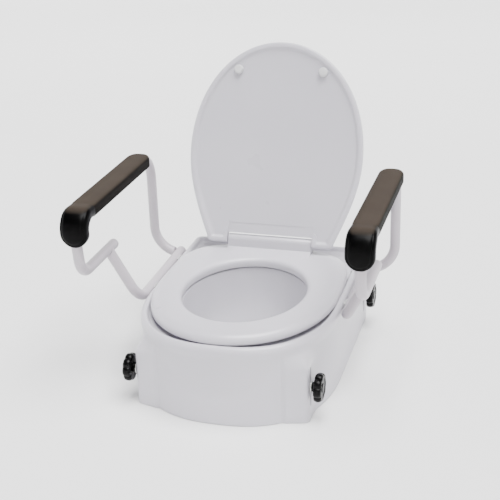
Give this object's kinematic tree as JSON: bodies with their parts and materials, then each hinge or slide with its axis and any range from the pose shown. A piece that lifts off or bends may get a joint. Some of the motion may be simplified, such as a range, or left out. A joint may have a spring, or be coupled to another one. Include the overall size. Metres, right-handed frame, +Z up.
{
  "type": "raised toilet seat",
  "caption": "White raised toilet seat with fold-up padded armrests, a hinged seat ring and lid, and side knobs that clamp its height.",
  "frame": {"origin": "middle of the object's box, on the floor, with the lid open and the armrests down", "axes": "+Z up; -Y to the front, where the sitter faces; +X to the sitter's left; X = 0 is the plane of symmetry"},
  "size_m": [0.5664, 0.5558, 0.5769],
  "materials": {
    "white_plastic": "moulded gloss",
    "white_coated_steel": "powder coated",
    "white_end_plug": "moulded satin",
    "grey_rubber": "matt",
    "armrest_foam": "soft foam skin",
    "black_plastic": "moulded gloss",
    "zinc_steel": "zinc plated"
  },
  "bodies": {
    "root": {"base_shell": "white_plastic", "hinge_post_right": "white_plastic", "hinge_pin_right": "zinc_steel", "hinge_wing_nut_right": "white_plastic", "side_rail_right": "white_coated_steel", "rail_plug_right": "white_end_plug", "arm_pivot_pin_right": "zinc_steel", "rail_spacer_front_right": "white_end_plug", "rail_screw_front_right": "zinc_steel", "rail_spacer_rear_right": "white_end_plug", "rail_screw_rear_right": "zinc_steel", "hinge_post_left": "white_plastic", "hinge_pin_left": "zinc_steel", "hinge_wing_nut_left": "white_plastic", "side_rail_left": "white_coated_steel", "rail_plug_left": "white_end_plug", "arm_pivot_pin_left": "zinc_steel", "rail_spacer_front_left": "white_end_plug", "rail_screw_front_left": "zinc_steel", "rail_spacer_rear_left": "white_end_plug", "rail_screw_rear_left": "zinc_steel"},
    "seat": {"seat_ring": "white_plastic", "seat_buffer_front_right": "grey_rubber", "seat_buffer_front_left": "grey_rubber", "seat_buffer_rear_right": "grey_rubber", "seat_buffer_rear_left": "grey_rubber"},
    "lid": {"lid": "white_plastic", "lid_buffer_right": "grey_rubber", "lid_buffer_left": "grey_rubber"},
    "arm_right": {"arm_tube_right": "white_coated_steel", "arm_pad_right": "armrest_foam", "arm_cap_right": "black_plastic", "arm_plug_right": "white_end_plug", "arm_button_right": "grey_rubber"},
    "arm_left": {"arm_tube_left": "white_coated_steel", "arm_pad_left": "armrest_foam", "arm_cap_left": "black_plastic", "arm_plug_left": "white_end_plug", "arm_button_left": "grey_rubber"},
    "bracket_front_right": {"height_bracket_front_right": "zinc_steel", "bracket_pad_front_right": "grey_rubber"},
    "knob_front_right": {"knob_front_right": "black_plastic", "knob_stud_front_right": "zinc_steel", "knob_washer_front_right": "zinc_steel"},
    "bracket_front_left": {"height_bracket_front_left": "zinc_steel", "bracket_pad_front_left": "grey_rubber"},
    "knob_front_left": {"knob_front_left": "black_plastic", "knob_stud_front_left": "zinc_steel", "knob_washer_front_left": "zinc_steel"},
    "bracket_rear_right": {"height_bracket_rear_right": "zinc_steel", "bracket_pad_rear_right": "grey_rubber"},
    "knob_rear_right": {"knob_rear_right": "black_plastic", "knob_stud_rear_right": "zinc_steel", "knob_washer_rear_right": "zinc_steel"},
    "bracket_rear_left": {"height_bracket_rear_left": "zinc_steel", "bracket_pad_rear_left": "grey_rubber"},
    "knob_rear_left": {"knob_rear_left": "black_plastic", "knob_stud_rear_left": "zinc_steel", "knob_washer_rear_left": "zinc_steel"}
  },
  "joints": [
    {"name": "seat_hinge", "type": "hinge", "parent": "root", "child": "seat", "pos_m": [0, 0.1351, 0.193], "axis": [1, 0, 0], "range_deg": [-100, 0]},
    {"name": "lid_hinge", "type": "hinge", "parent": "root", "child": "lid", "pos_m": [0, 0.1351, 0.193], "axis": [1, 0, 0], "range_deg": [0, 111]},
    {"name": "arm_right_hinge", "type": "hinge", "parent": "root", "child": "arm_right", "pos_m": [0.2135, 0.1451, 0.147], "axis": [1, 0, 0], "range_deg": [-95, 0]},
    {"name": "arm_left_hinge", "type": "hinge", "parent": "root", "child": "arm_left", "pos_m": [-0.2135, 0.1451, 0.147], "axis": [1, 0, 0], "range_deg": [-95, 0]},
    {"name": "bracket_front_right_slide", "type": "slide", "parent": "root", "child": "bracket_front_right", "axis": [0, 0, 1], "range_m": [-0.035, 0.035]},
    {"name": "knob_front_right_turn", "type": "hinge", "parent": "bracket_front_right", "child": "knob_front_right", "pos_m": [0.165, -0.2189, 0.067], "axis": [1, 0, 0], "continuous": true},
    {"name": "bracket_front_left_slide", "type": "slide", "parent": "root", "child": "bracket_front_left", "axis": [0, 0, 1], "range_m": [-0.035, 0.035]},
    {"name": "knob_front_left_turn", "type": "hinge", "parent": "bracket_front_left", "child": "knob_front_left", "pos_m": [-0.165, -0.2189, 0.067], "axis": [1, 0, 0], "continuous": true},
    {"name": "bracket_rear_right_slide", "type": "slide", "parent": "root", "child": "bracket_rear_right", "axis": [0, 0, 1], "range_m": [-0.035, 0.035]},
    {"name": "knob_rear_right_turn", "type": "hinge", "parent": "bracket_rear_right", "child": "knob_rear_right", "pos_m": [0.1873, 0.1851, 0.067], "axis": [1, 0, 0], "continuous": true},
    {"name": "bracket_rear_left_slide", "type": "slide", "parent": "root", "child": "bracket_rear_left", "axis": [0, 0, 1], "range_m": [-0.035, 0.035]},
    {"name": "knob_rear_left_turn", "type": "hinge", "parent": "bracket_rear_left", "child": "knob_rear_left", "pos_m": [-0.1873, 0.1851, 0.067], "axis": [1, 0, 0], "continuous": true}
  ]
}
